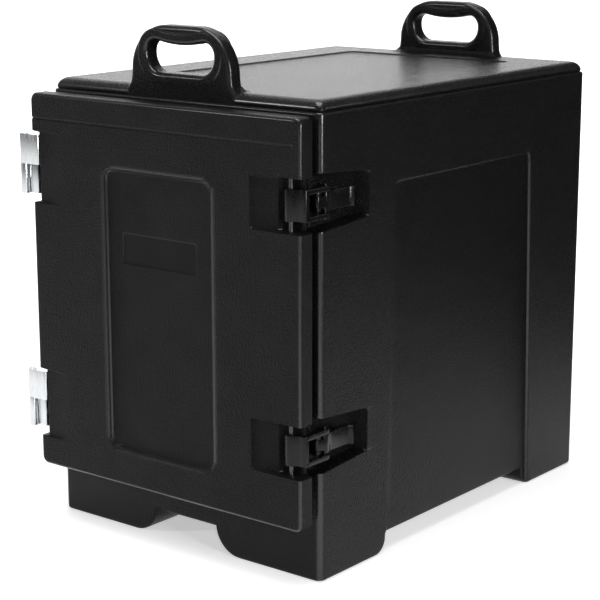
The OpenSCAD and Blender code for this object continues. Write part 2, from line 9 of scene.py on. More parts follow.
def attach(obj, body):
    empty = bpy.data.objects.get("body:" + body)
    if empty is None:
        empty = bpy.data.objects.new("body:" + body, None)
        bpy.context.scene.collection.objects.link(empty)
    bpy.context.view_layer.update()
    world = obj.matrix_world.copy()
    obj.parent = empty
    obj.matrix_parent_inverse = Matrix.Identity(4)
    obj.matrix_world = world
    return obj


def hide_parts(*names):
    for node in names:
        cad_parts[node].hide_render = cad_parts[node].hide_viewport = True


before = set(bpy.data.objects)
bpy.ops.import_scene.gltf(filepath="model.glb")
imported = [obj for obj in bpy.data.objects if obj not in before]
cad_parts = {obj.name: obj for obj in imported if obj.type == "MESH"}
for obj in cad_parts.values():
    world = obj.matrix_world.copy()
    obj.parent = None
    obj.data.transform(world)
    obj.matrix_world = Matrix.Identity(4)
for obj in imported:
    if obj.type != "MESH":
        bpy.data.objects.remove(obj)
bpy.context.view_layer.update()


# ---------------------------------------------------------------------------------------------
# Cabinet moulding: one hollow rotomoulded block of black polyethylene with feet, a recessed
# panel on each side and two latch pockets. Its mould was blasted, which leaves a glossy,
# pebbled skin. Lengths are millimetres from the middle of the cabinet and the door's face.

frame_shift = (12.375, -320.0, 0.0)
half_w = 219.0
front_y = 40.0
back_y = 640.0
ledge_z = 571.0
top_z = 585.0
pocket_heights = (467.0, 173.0)
opening_half_w = 175.2
opening_z = (104.8, 555.2)
opening_depth = 561.0
front_arch_r, front_arch_top, front_arch_half_w = 36.0, 35.0, 88.0
side_arch_r, side_arch_top, side_arch_y = 18.0, 24.0, (156.0, 522.0)
panel_bottom_y, panel_top_y, panel_top_z, panel_depth = (176.0, 518.0), (188.0, 502.0), 474.0, 4.0
pocket_end_y, pocket_depth, pocket_front_half_h, pocket_back_half_h = 134.0, 17.0, 34.0, 27.0
tray_half_w, tray_half_d, tray_depth = 138.0, 235.0, 2.0
upright_r = 8.0


def place(points):
    """Points in millimetres from the cabinet's middle and the door's face, as metres in the model's frame."""
    return (np.asarray(points, float) + frame_shift) / 1000.0


def grid_lines(start, stop, pitch, edges=()):
    """Places of grid lines: an even pitch from start to stop, and a tight bunch across each edge that
    has a step."""
    bunch = (np.array(edges, float).reshape(-1, 1) + (-3.0, -1.6, -0.7, 0.0, 0.7, 1.6, 3.0)).ravel()
    even = np.linspace(start, stop, max(2, round((stop - start) / pitch) + 1))
    if len(bunch):
        even = even[(np.abs(even[:, None] - bunch).min(1) > 1.2) | (even == start) | (even == stop)]
    every = np.unique(np.concatenate([even, bunch]).round(3))
    every = every[(every >= start) & (every <= stop)]
    return every[np.concatenate([[True], np.diff(every) > 0.25])]


def ramp(value, low, high):
    """0 up to low, 1 from high on, and a smooth S between: 3t^2 - 2t^3 of the share t of the way."""
    t = np.clip((value - low) / (high - low), 0.0, 1.0)
    return t * t * (3.0 - 2.0 * t)


def depth_inside(u, v, middle, half, radius):
    """How far (u, v) lies inside a rectangle with round corners: radius, less the distance from the
    rectangle shrunk by it."""
    du = np.abs(u - middle[0]) - half[0] + radius
    dv = np.abs(v - middle[1]) - half[1] + radius
    return radius - np.hypot(np.maximum(du, 0), np.maximum(dv, 0)) - np.minimum(np.maximum(du, dv), 0)


def arc_profile(radius, low, high, steps):
    """Insets and heights of a quarter round: radius (1 - sin a) and radius (1 - cos a), for a from low to
    high degrees."""
    a = np.radians(np.linspace(low, high, steps))
    return radius * (1 - np.sin(a)), radius * (1 - np.cos(a))


def plan_point(u, v, half, inset, radius, zone=30.0):
    """Draws a plain rectangle's grid in by inset, squeezing only the outer zone, and turns its corners
    round: past the corner's centre a point keeps its larger offset and takes the direction of both."""
    squeeze = (zone - inset) / zone
    drawn = []
    for value, size in ((u, half[0]), (v, half[1])):
        a = np.abs(value)
        drawn.append(np.sign(value) * np.where(a < size - zone, a, size - zone + (a - size + zone) * squeeze))
    over = [np.maximum(np.abs(d) - (size - inset - radius), 0) for d, size in zip(drawn, half)]
    length = np.hypot(*over)
    corner = (over[0] > 0) & (over[1] > 0)
    scale = np.where(corner, np.maximum(*over) / np.where(length > 0, length, 1), 1)
    return [np.where(corner, np.sign(d) * (size - inset - radius + o * scale), d)
            for d, o, size in zip(drawn, over, half)]


def rounded_slab(u, v, profile, radius):
    """A closed block. Two flat grids of lines u by v close its ends, and the profile, pairs of inset and
    height, is carried round the rectangle between them. Returns its points and quads."""
    half = (u[-1], v[-1])
    count = len(u) * len(v)
    index = np.arange(count).reshape(len(u), len(v))
    loop = np.concatenate([index[:-1, 0], index[-1, :-1], index[:0:-1, -1], index[0, :0:-1]])
    flat_u, flat_v = (g.ravel() for g in np.meshgrid(u, v, indexing="ij"))
    rings = [loop]
    points = []
    for k, (inset, height) in enumerate(profile):
        at_end = k in (0, len(profile) - 1)
        pu, pv = (flat_u, flat_v) if at_end else (flat_u[loop], flat_v[loop])
        x, y = plan_point(pu, pv, half, inset, radius)
        points.append(np.stack([x, y, np.full(len(x), height)], 1))
    start = count
    for k in range(1, len(profile) - 1):
        rings.append(start + np.arange(len(loop)))
        start += len(loop)
    rings.append(start + loop)
    a, b = np.array(rings[:-1]), np.array(rings[1:])
    sides = np.stack([a, np.roll(a, -1, 1), np.roll(b, -1, 1), b], -1).reshape(-1, 4)
    cell = np.stack([index[:-1, :-1], index[1:, :-1], index[1:, 1:], index[:-1, 1:]], -1).reshape(-1, 4)
    return np.concatenate(points), np.concatenate([cell[:, ::-1], sides, cell + start])


def new_piece(name, points, faces, material, crease=35.0):
    """A mesh object from points in millimetres, smooth except across edges sharper than crease degrees."""
    mesh = bpy.data.meshes.new(name)
    mesh.from_pydata(place(points).tolist(), [], [list(map(int, f)) for f in faces])
    mesh.validate()
    mesh.polygons.foreach_set("use_smooth", [True] * len(mesh.polygons))
    mesh.set_sharp_from_angle(angle=math.radians(crease))
    mesh.materials.append(material)
    piece = bpy.data.objects.new(name, mesh)
    bpy.context.scene.collection.objects.link(piece)
    return piece


def mark(piece, name, values):
    """Gives a piece's points a value from 0 to 1 that its material reads by name."""
    piece.data.attributes.new(name, "FLOAT", "POINT").data.foreach_set("value", np.clip(values, 0.0, 1.0))


def hump(share):
    """0 at both ends of a step and 1 half way across it: 4 t (1 - t)."""
    return 4.0 * share * (1.0 - share)


def linear(hex_colour):
    """An sRGB hex colour as linear red, green, blue and alpha."""
    srgb = np.array([int(hex_colour[i:i + 2], 16) for i in (1, 3, 5)]) / 255.0
    return (*np.where(srgb <= 0.04045, srgb / 12.92, ((srgb + 0.055) / 1.055) ** 2.4), 1.0)


def add_node(material, kind, inputs=None, **settings):
    """Adds a node with its settings, and gives each named input a value or, from a socket, a link."""
    tree = material.node_tree
    node = tree.nodes.new(kind)
    for name, value in settings.items():
        setattr(node, name, value)
    for name, value in (inputs or {}).items():
        if isinstance(value, bpy.types.NodeSocket):
            tree.links.new(value, node.inputs[name])
        else:
            node.inputs[name].default_value = value
    return node


def start_material(name):
    """An empty node material and the coordinates of the object it is on, in metres."""
    material = bpy.data.materials.new(name)
    material.use_nodes = True
    material.node_tree.nodes.clear()
    return material, add_node(material, "ShaderNodeTexCoord").outputs["Object"]


def finish_material(material, shader_inputs, **plain):
    """Gives a material its one surface shader and its output."""
    shader = add_node(material, "ShaderNodeBsdfPrincipled", {**shader_inputs, **plain})
    add_node(material, "ShaderNodeOutputMaterial", {"Surface": shader.outputs["BSDF"]})
    return material


def moulded_polyethylene(name, dark, light, pebble, relief, rough, sheen):
    """Black polyethylene out of a blasted mould: pebbles of the given size and relief in metres on a skin
    that waves slightly over several centimetres, as a thick moulding does when it cools, duller in patches.
    Where the mesh's smooth_area is 1 the mould was polished and the pebbles all but vanish; where its
    edge_polish is 1, on the rounded edges, handling has rubbed the skin bright."""
    material, where = start_material(name)
    smooth = add_node(material, "ShaderNodeAttribute", attribute_name="smooth_area").outputs["Fac"]
    rubbed = add_node(material, "ShaderNodeAttribute", attribute_name="edge_polish").outputs["Fac"]
    grain = add_node(material, "ShaderNodeMapRange", {"Value": smooth, "To Min": 0.9, "To Max": 0.12})
    wave = add_node(material, "ShaderNodeTexNoise", {"Vector": where, "Scale": 9.0, "Detail": 1.0})
    cells = add_node(material, "ShaderNodeTexVoronoi",
                     {"Vector": where, "Scale": 1.0 / pebble, "Randomness": 1.0}, feature="SMOOTH_F1")
    grit = add_node(material, "ShaderNodeTexNoise", {"Vector": where, "Scale": 1.6 / pebble, "Detail": 3.0})
    patches = add_node(material, "ShaderNodeTexNoise", {"Vector": where, "Scale": 26.0, "Detail": 4.0})
    colour = add_node(material, "ShaderNodeValToRGB", {"Fac": patches.outputs["Fac"]})
    colour.color_ramp.elements[0].position, colour.color_ramp.elements[0].color = 0.35, linear(dark)
    colour.color_ramp.elements[1].position, colour.color_ramp.elements[1].color = 0.7, linear(light)
    gloss = add_node(material, "ShaderNodeMapRange",
                     {"Value": grit.outputs["Fac"], "From Min": 0.3, "From Max": 0.7,
                      "To Min": rough[0], "To Max": rough[1]})
    slow = add_node(material, "ShaderNodeBump",
                    {"Height": wave.outputs["Fac"], "Strength": 0.6, "Distance": 0.0016})
    fine = add_node(material, "ShaderNodeBump",
                    {"Height": grit.outputs["Fac"], "Normal": slow.outputs["Normal"],
                     "Strength": grain.outputs["Result"], "Distance": relief})
    beads = add_node(material, "ShaderNodeBump",
                     {"Height": cells.outputs["Distance"], "Normal": fine.outputs["Normal"],
                      "Strength": grain.outputs["Result"], "Distance": relief * 1.2}, invert=True)
    return finish_material(material, {"Base Color": colour.outputs["Color"], "Coat Weight": rubbed,
                                      "Roughness": gloss.outputs["Result"], "Normal": beads.outputs["Normal"]},
                           **{"IOR": 1.51, "Specular IOR Level": sheen, "Coat Roughness": 0.22})


# Polyethylene with a pebbled, fairly glossy skin. The real pebbles are about 1 mm; they are
# drawn at 1.8 mm so that the sparkle shows.
cabinet_plastic = moulded_polyethylene("pebbled_black_polyethylene", "#060607", "#0b0b0c",
                                       0.0018, 0.0011, (0.18, 0.32), 0.12)

corner_lines = half_w - upright_r + upright_r * np.tan(np.radians([0.0, 11.25, 22.5, 33.75, 45.0]))
arch_lines = front_arch_half_w - front_arch_r * np.sin(np.radians(np.linspace(0, 90, 10)))
extra_u = np.array([51.5, 178.0, 199.0, 204.0, 208.0])
steps_across = [-opening_half_w, opening_half_w, -tray_half_w, tray_half_w]
u = np.concatenate([grid_lines(-half_w, half_w, 11.0, steps_across), arch_lines, -arch_lines,
                    corner_lines, -corner_lines, extra_u, -extra_u])
u = np.unique(u.round(3))
u = u[np.concatenate([[True], np.diff(u) > 0.25])]
mid_y = (front_y + back_y) / 2
half_d = (back_y - front_y) / 2
foot_lines = side_arch_r * np.sin(np.radians(np.linspace(0, 90, 7)))
step_lines = np.array([131.0, 174.0, 178.0, 504.0, 516.0, mid_y - tray_half_d, mid_y + tray_half_d])
v = np.concatenate([grid_lines(-half_d, half_d, 11.0, step_lines - mid_y),
                    side_arch_y[0] + foot_lines - mid_y, side_arch_y[1] - foot_lines - mid_y,
                    [173.4 - mid_y, 504.6 - mid_y],
                    half_d - half_w + corner_lines, -(half_d - half_w + corner_lines),
                    [half_d - 20, half_d - 15, half_d - 11, 20 - half_d, 15 - half_d, 11 - half_d]])
v = np.unique(v.round(3))
v = v[np.concatenate([[True], np.diff(v) > 0.25])]

foot_in, foot_up = arc_profile(4.0, 0, 90, 5)
edge_in, edge_up = arc_profile(2.5, 90, 0, 4)
cap_in, cap_up = arc_profile(12.0, 90, 0, 9)
pocket_edges = [z + side * 30.5 for z in pocket_heights for side in (-1, 1)]
wall_z = grid_lines(4.0, ledge_z - 2.5, 11.0,
                    [side_arch_r, side_arch_top, panel_top_z, *opening_z] + pocket_edges)
cabinet_profile = ([*zip(foot_in, foot_up)] + [(0.0, z) for z in wall_z[1:]]
                   + [(i, ledge_z - h) for i, h in list(zip(edge_in, edge_up))[1:]] + [(2.9, ledge_z + 0.4)]
                   + [(2.0 + i, top_z - h) for i, h in zip(cap_in, cap_up)])
points, faces = rounded_slab(u, v, cabinet_profile, upright_r)
x, y, z = points[:, 0], points[:, 1] + mid_y, points[:, 2].copy()

# The panel's and the pocket's slanted edges take the grid lines beside them along.
slant = ramp(z, 30.0, 75.0)
for nominal, bottom, top in zip((178.0, 516.0), panel_bottom_y, panel_top_y):
    pull = ramp(44.0 - np.abs(y - nominal), 0.0, 38.0) * slant * (np.abs(x) > half_w - 1) * (z < ledge_z)
    y = y + pull * (bottom + (top - bottom) * z / panel_top_z - nominal)
narrowing = np.clip((y - front_y) / (pocket_end_y - front_y), 0.0, 1.0)
pocket_half = pocket_front_half_h - (pocket_front_half_h - pocket_back_half_h) * narrowing
for height in pocket_heights:
    for side in (-1, 1):
        near = ramp(17.0 - np.abs(z - height - side * 30.5), 0.0, 12.0) * ramp(x, 178.0, 205.0) * (y < 150)
        z = z + near * side * (pocket_half - 30.5)

# Arches lift the underside between the feet: a quarter round of each arch's radius, then flat.
from_foot = np.clip(front_arch_half_w - np.abs(x), 0, front_arch_r)
front_round = front_arch_r - np.sqrt(front_arch_r ** 2 - from_foot ** 2)
front_arch = np.where(np.abs(x) < front_arch_half_w - front_arch_r, front_arch_top,
                      np.minimum(front_arch_top, front_round))
from_foot = np.clip(np.minimum(y - side_arch_y[0], side_arch_y[1] - y), 0, side_arch_r)
side_round = side_arch_r - np.sqrt(side_arch_r ** 2 - from_foot ** 2)
side_arch = np.where((y >= side_arch_y[0] + side_arch_r) & (y <= side_arch_y[1] - side_arch_r),
                     side_arch_top, side_round)
z = z + np.maximum(front_arch, side_arch) * np.clip((75.0 - points[:, 2]) / 71.0, 0.0, 1.0)

# Side panels, latch pockets and the mouth of the cavity are pushed into the block.
rise = z / panel_top_z
panel_along = (y - 176.0 - 12.0 * rise) / (342.0 - 28.0 * rise) * 328.0
inside_panel = depth_inside(panel_along, z, (164.0, 212.0), (164.0, 262.0), 8.0)
outer_side = np.clip((np.abs(x) - 150.0) / 60.0, 0.0, 1.0) * (z < 500)
x = x - np.sign(x) * panel_depth * ramp(inside_panel, -0.8, 2.4) * outer_side
for height in pocket_heights:
    inside_pocket = pocket_half - np.abs(z - height)
    back_wall = np.clip((pocket_end_y - y) / 6.0, 0.0, 1.0)
    outer_skin = np.clip((x - 178.0) / (half_w - 178.0), 0.0, 1.0)
    x = x - pocket_depth * ramp(inside_pocket, -0.9, 2.2) * back_wall * outer_skin
mouth_half_h = (opening_z[1] - opening_z[0]) / 2
mouth = depth_inside(x, z, (0.0, sum(opening_z) / 2), (opening_half_w, mouth_half_h), 2.0)
on_front = (y < front_y + 1) & (points[:, 2] > 90) & (points[:, 2] < 565)
y = np.where(on_front, y + opening_depth * ramp(mouth, 0.0, 0.6), y)

# The top has a shallow tray between the handles, and swells up to each handle's foot.
on_top = points[:, 2] > top_z - 0.01
tray = ramp(depth_inside(x, y, (0.0, mid_y), (tray_half_w, tray_half_d), 12.0), -0.6, 2.6)
z = np.where(on_top, z - tray_depth * tray, z)
for foot_y in (front_y + 12.5, back_y - 12.5):
    away = np.clip(-depth_inside(x, y, (0.0, foot_y), (83.0, 12.5), 4.0), 0.0, 6.0)
    z = np.where(on_top, z + 6.0 - np.sqrt(36.0 - (6.0 - away) ** 2), z)

cabinet = new_piece("cabinet_moulding", np.stack([x, y, z], 1), faces, cabinet_plastic)
mark(cabinet, "smooth_area", 0.35 * ramp(inside_panel, 0.0, 3.0) * (np.abs(x) > half_w - 6.0))
uprights = ramp(np.abs(x), half_w - 8.0, half_w - 3.5) * (1.0 - ramp(y, front_y + 3.0, front_y + 8.0))
cap_edge = ramp(z, top_z - 12.0, top_z - 6.0) * (1.0 - ramp(z, top_z - 2.5, top_z - 0.5))
ledge_edge = ramp(z, ledge_z - 2.6, ledge_z - 1.0) * (z < ledge_z + 0.2)
recesses = np.abs(x) > half_w - 16.0
pocket_rims = [hump(ramp(pocket_half - np.abs(z - height), -0.9, 2.2)) * recesses * (x > 0) * (y < 140)
               for height in pocket_heights]
panel_rim = hump(ramp(inside_panel, -0.8, 2.4)) * recesses * (z < 500)
mark(cabinet, "edge_polish", np.max([uprights * (z < ledge_z), cap_edge * ~on_top, ledge_edge,
                                     panel_rim, *pocket_rims], axis=0))
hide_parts("cabinet_shell")
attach(cabinet, "cabinet")


# ---------------------------------------------------------------------------------------------
# Two carrying handles, moulded in one with the cabinet at the front and the back edge of the
# top: a thick loop with wide round shoulders and a low rim round the hand hole, whose upper
# edge sags into the grip.

hole_middle = 36.0
rim_in = 6.0
rim_out = 6.0
lip_w = 6.0
lip_h = 1.2
step_w = 2.4
handle_y = ((40.3, 64.7), (615.3, 639.7))


def loop_by_angle(outline, count):
    """A closed outline, given as points, taken at even polar angles round the hole's middle by linear
    interpolation."""
    outline = np.asarray(outline, float)
    to_next = np.roll(outline, -1, 0) - outline
    dense = np.concatenate([outline + t * to_next for t in np.linspace(0, 1, 24, False)])
    dense = dense - (0.0, hole_middle)
    angle = np.arctan2(dense[:, 1], dense[:, 0])
    order = np.argsort(angle)
    wanted = np.linspace(-np.pi, np.pi, count, False)
    radius = np.interp(wanted, angle[order], np.hypot(*dense[order].T), period=2 * np.pi)
    return np.stack([radius * np.cos(wanted), radius * np.sin(wanted) + hole_middle], 1)


def drawn_in(loop, distance):
    """The loop moved sideways by distance along its normals, each square to the chord between the points
    on either side."""
    chord = np.roll(loop, -1, 0) - np.roll(loop, 1, 0)
    chord = chord / np.hypot(*chord.T)[:, None]
    return loop + distance * np.stack([-chord[:, 1], chord[:, 0]], 1)


def round_arc(centre, radius, low, high, steps=14):
    """Points on a circle from low to high degrees."""
    a = np.radians(np.linspace(low, high, steps))
    return np.stack([centre[0] + radius * np.cos(a), centre[1] + radius * np.sin(a)], 1)


right = np.concatenate([[[90.0, -30.0], [90.0, -1.5], [86.2, 0.2], [83.4, 3.0], [82.0, 8.0], [81.3, 14.0]],
                        round_arc((25.0, 19.0), 56.0, 0, 90, 26)])
handle_outline = np.concatenate([right, (right * (-1, 1))[::-1]])
hole_right = np.concatenate([round_arc((32.0, 39.5), 22.0, -90, 0), round_arc((39.0, 41.0), 15.0, 3, 84)])
grip = np.stack([np.linspace(38.0, 0.0, 12), 51.5 + 4.5 * (np.linspace(38.0, 0.0, 12) / 38.0) ** 2], 1)
hole_right = np.concatenate([hole_right, grip[1:]])
hole_outline = np.concatenate([hole_right, (hole_right[:-1] * (-1, 1))[::-1]])
outer, inner = loop_by_angle(handle_outline, 224), loop_by_angle(hole_outline, 224)

# From the middle of the hole outwards: its round edge, the flat rim, the step down to the face, and
# the outer edge, each a distance into the plastic and a depth behind the rim's plane.
quarter = np.radians(np.linspace(0, 90, 7))
rows = [(drawn_in(inner, -rim_in * (1 - math.cos(a))), rim_in * (1 - math.sin(a))) for a in quarter]
step = np.linspace(0.0, 1.0, 5)
rows += [(drawn_in(inner, -(rim_in + lip_w + step_w * t)), lip_h * ramp(t, 0.0, 1.0)) for t in step]
bridge_in, bridge_out = drawn_in(inner, -(rim_in + lip_w + step_w)), drawn_in(outer, rim_out)
rows += [(bridge_in + t * (bridge_out - bridge_in), lip_h) for t in (0.33, 0.67)]
rows += [(drawn_in(outer, rim_out * (1 - math.sin(a))), lip_h + (rim_out - lip_h) * (1 - math.cos(a)))
         for a in quarter]
round_polish = [math.sin(2 * a) for a in quarter]
row_polish = round_polish + [hump(t) for t in step] + [0.0, 0.0] + round_polish
for name, (near_y, far_y) in zip(("front", "back"), handle_y):
    front_rows = [np.stack([p[:, 0], np.full(len(p), near_y + d), p[:, 1] + top_z], 1) for p, d in rows]
    back_rows = [np.stack([p[:, 0], np.full(len(p), far_y - d), p[:, 1] + top_z], 1) for p, d in rows][::-1]
    section = np.array(front_rows + back_rows)
    turns, around = section.shape[:2]
    index = np.arange(turns * around).reshape(turns, around)
    onward = np.roll(index, -1, 0)
    faces = np.stack([index, onward, np.roll(onward, -1, 1), np.roll(index, -1, 1)], -1).reshape(-1, 4)
    handle = new_piece(name + "_handle", section.reshape(-1, 3), faces, cabinet_plastic)
    mark(handle, "edge_polish", np.repeat(row_polish + row_polish[::-1], around))
    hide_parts("cabinet_shell")
    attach(handle, "cabinet")


# ---------------------------------------------------------------------------------------------
# Door moulding: a flat block of the same polyethylene from a finer mould, so duller and finer in
# grain. Its face has a plain top band, a sunk panel with a blank name pad, hollows beside the
# hinges and two pockets for the latches.

door_half_w = 220.0
door_mid_z = 322.0
door_half_h = 247.0
door_t = 24.0
door_corner_r = 9.0
band_z = (535.0, 538.0)
hinge_heights = (476.0, 162.0)
notch_below, notch_above = 48.0, 44.0
slot_half_h = 32.0
field_mid = (-4.0, 303.5)
pad_mid = (-4.0, 385.5)

# The mould's grain is well under 1 mm; it is drawn at 1.8 mm so that it shows.
door_plastic = moulded_polyethylene("fine_grained_black_polyethylene", "#0b0b0b", "#121212",
                                    0.0018, 0.0013, (0.28, 0.44), 0.10)

notch_edges = [z + d for z in hinge_heights for d in (-notch_below, notch_above)]
slot_edges = [z + d for z in pocket_heights for d in (-slot_half_h, slot_half_h)]
corner_run = door_corner_r * np.tan(np.radians([0.0, 11.25, 22.5, 33.75, 45.0])) - door_corner_r
steps_across = [-90.0, 82.0, -65.0, 57.0, 145.0, 184.0, 207.0, -214.0]
steps_up = np.array([*band_z, 482.0, 125.0, 366.0, 405.0, *notch_edges, *slot_edges]) - door_mid_z
u = np.concatenate([grid_lines(-door_half_w, door_half_w, 8.0, steps_across), door_half_w + corner_run,
                    -door_half_w - corner_run, [201.0, 205.0, -201.0, -205.0]])
v = np.concatenate([grid_lines(-door_half_h, door_half_h, 8.0, steps_up), door_half_h + corner_run,
                    -door_half_h - corner_run])
u, v = np.unique(u.round(3)), np.unique(v.round(3))
u = u[np.concatenate([[True], np.diff(u) > 0.25])]
v = v[np.concatenate([[True], np.diff(v) > 0.25])]
back_in, back_up = arc_profile(3.0, 0, 90, 4)
face_in, face_up = arc_profile(4.5, 90, 0, 7)
door_profile = ([*zip(back_in, back_up)] + [(0.0, h) for h in (9.0, 15.0)]
                + [(i, door_t - h) for i, h in zip(face_in, face_up)])
points, faces = rounded_slab(u, v, door_profile, door_corner_r)
x, z = points[:, 0].copy(), points[:, 1] + door_mid_z
back_distance = points[:, 2]

# Notches on the hinge side and slots on the latch side run right through the door.
for height in hinge_heights:
    in_notch = ramp(np.minimum(z - height + notch_below, height + notch_above - z), -0.6, 1.4)
    x = x + 11.0 * in_notch * np.clip((-x - 176.0) / 44.0, 0.0, 1.0)
for height in pocket_heights:
    in_slot = ramp(slot_half_h - np.abs(z - height), -0.6, 1.6)
    x = x - 9.0 * in_slot * np.clip((x - 176.0) / 44.0, 0.0, 1.0)

# Depth of the face below its plane.
in_band = np.minimum(z - band_z[0], band_z[1] - z)
depth = 1.5 * ramp(in_band, -0.8, 1.2) * ramp(208.0 - x, 0.0, 3.0)
panel = depth_inside(x, z, field_mid, (89.0, 181.5), 13.0)
field = depth_inside(x, z, field_mid, (86.0, 178.5), 10.0)
pad = depth_inside(x, z, pad_mid, (61.0, 19.5), 3.5)
sunk = 1.2 * ramp(panel, -0.6, 1.2) + 2.8 * ramp(field, -0.8, 1.8) + 1.5 * ramp(pad, -0.5, 1.0)
depth = np.maximum(depth, sunk)
for height in hinge_heights:
    between = ramp(np.minimum(z - height + notch_below, height + notch_above - z), -0.6, 1.8)
    hollow = np.where(x < -168.0, 2.5 * (1 - np.clip((x + 214.0) / 46.0, 0.0, 1.0) ** 2), 0.0)
    depth = np.maximum(depth, between * hollow)
for height in pocket_heights:
    floor = np.interp(x, [144.2, 145.8, 181.0, 187.0, 209.0], [0.0, 3.0, 8.0, 17.0, 17.5])
    depth = np.maximum(depth, floor * ramp(slot_half_h - np.abs(z - height), -0.7, 2.0))
y = (door_t - back_distance) + depth * back_distance / door_t
recess = depth_inside(x, z, (0.0, door_mid_z), (213.6, 240.6), 2.0)
y = np.where(back_distance < 0.01, y - 0.4 * ramp(recess, 0.0, 1.0), y)

door = new_piece("door_moulding", np.stack([x, y, z], 1), faces, door_plastic)
mark(door, "smooth_area", 0.3 * ramp(field, 0.0, 3.0) + 0.7 * ramp(pad, 0.0, 1.2))
outline = depth_inside(x, z, (0.0, door_mid_z), (door_half_w, door_half_h), door_corner_r)
on_face = back_distance > door_t - 0.5
slot_rims = [hump(ramp(slot_half_h - np.abs(z - height), -0.7, 2.0)) * (x > 145.0)
             for height in pocket_heights]
steps_in_face = np.max([0.8 * hump(ramp(in_band, -0.8, 1.2)) * (x < 208.0), 0.8 * hump(ramp(panel, -0.6, 1.2)),
                        hump(ramp(field, -0.8, 1.8)), 0.5 * hump(ramp(pad, -0.5, 1.0)), *slot_rims], axis=0)
round_edge = ramp(back_distance, door_t - 4.0, door_t - 2.0) * (1.0 - ramp(outline, 1.5, 4.5))
mark(door, "edge_polish", np.maximum(round_edge, steps_in_face * on_face))
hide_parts("door_shell")
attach(door, "door")


# ---------------------------------------------------------------------------------------------
# Inside faces: the cavity liner with its pan rails and the door's inner panel with its plug,
# both smooth black polyethylene, wiped often and so faintly streaked along their length.

def smooth_polyethylene(name, dark, light):
    """Black polyethylene from a polished tool: no grain, long faint wipe marks, and a soft even gloss."""
    material, where = start_material(name)
    along = add_node(material, "ShaderNodeMapping", {"Vector": where, "Scale": (60.0, 4.0, 60.0)})
    wipes = add_node(material, "ShaderNodeTexNoise",
                     {"Vector": along.outputs["Vector"], "Scale": 1.0, "Detail": 5.0})
    tint = add_node(material, "ShaderNodeTexNoise", {"Vector": where, "Scale": 14.0, "Detail": 2.0})
    colour = add_node(material, "ShaderNodeMix", {"Factor": tint.outputs["Fac"]}, data_type="RGBA")
    colour.inputs[6].default_value, colour.inputs[7].default_value = linear(dark), linear(light)
    gloss = add_node(material, "ShaderNodeMapRange",
                     {"Value": wipes.outputs["Fac"], "From Min": 0.3, "From Max": 0.7,
                      "To Min": 0.34, "To Max": 0.52})
    dent = add_node(material, "ShaderNodeBump",
                    {"Height": tint.outputs["Fac"], "Strength": 0.5, "Distance": 0.0012})
    return finish_material(material, {"Base Color": colour.outputs[2], "Roughness": gloss.outputs["Result"],
                                      "Normal": dent.outputs["Normal"]}, **{"IOR": 1.51})


liner_plastic = smooth_polyethylene("smooth_black_polyethylene", "#0e0e0f", "#161617")


def finish_cad(node, material):
    """Gives a CAD node this file's finish in place of its plain one."""
    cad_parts[node].data.materials.clear()
    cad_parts[node].data.materials.append(material)


for node in ("cabinet_liner", "door_inner_panel"):
    finish_cad(node, liner_plastic)


# ---------------------------------------------------------------------------------------------
# Door gasket: a soft black extruded rubber section in one ring, pushed onto the door's plug and
# squeezed against the cabinet's front frame. Its face is a rounded bulb.

def soft_rubber(name, dark, light):
    """Black extruded rubber: a dull skin with fine bloom, a little greyer in patches."""
    material, where = start_material(name)
    bloom = add_node(material, "ShaderNodeTexNoise", {"Vector": where, "Scale": 180.0, "Detail": 4.0})
    colour = add_node(material, "ShaderNodeValToRGB", {"Fac": bloom.outputs["Fac"]})
    colour.color_ramp.elements[0].color, colour.color_ramp.elements[1].color = linear(dark), linear(light)
    skin = add_node(material, "ShaderNodeBump",
                    {"Height": bloom.outputs["Fac"], "Strength": 0.4, "Distance": 0.0002})
    return finish_material(material, {"Base Color": colour.outputs["Color"], "Normal": skin.outputs["Normal"]},
                           **{"Roughness": 0.68, "IOR": 1.52})


rubber = soft_rubber("soft_black_rubber", "#0b0b0c", "#1a1a1b")
ring_mid_z = 329.0
ring_half = (183.0, 231.0)
ring_r = 9.0
centre_x, centre_z = ring_half[0] - ring_r, ring_half[1] - ring_r
arcs = [round_arc((sx * centre_x, ring_mid_z + sz * centre_z), ring_r, low, low + 90, 8)
        for sx, sz, low in ((1, 1, 0), (-1, 1, 90), (-1, -1, 180), (1, -1, 270))]
path = np.concatenate(arcs)
bulb = np.array([(-5.5, 24.2), (5.5, 24.2), (5.8, 28.0), (5.2, 33.5), (3.6, 37.6), (1.4, 39.4),
                 (-1.4, 39.4), (-3.6, 37.6), (-5.2, 33.5), (-5.8, 28.0)])
section = np.array([np.stack([p[:, 0], np.full(len(p), depth_y), p[:, 1]], 1)
                    for offset, depth_y in bulb for p in [drawn_in(path, -offset)]])
index = np.arange(section.shape[0] * section.shape[1]).reshape(section.shape[:2])
onward = np.roll(index, -1, 0)
faces = np.stack([index, onward, np.roll(onward, -1, 1), np.roll(index, -1, 1)], -1).reshape(-1, 4)
gasket = new_piece("gasket_ring", section.reshape(-1, 3), faces, rubber, 50.0)
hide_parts("door_gasket")
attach(gasket, "door")


# ---------------------------------------------------------------------------------------------
# Two hinges of polished stainless steel. Each half is one strip of sheet, rolled round the pin
# and folded flat: the upper half is screwed into the door's notch, the lower to the cabinet.

hinge_axis = (-239.0, 6.0)
sheet_t = 2.4


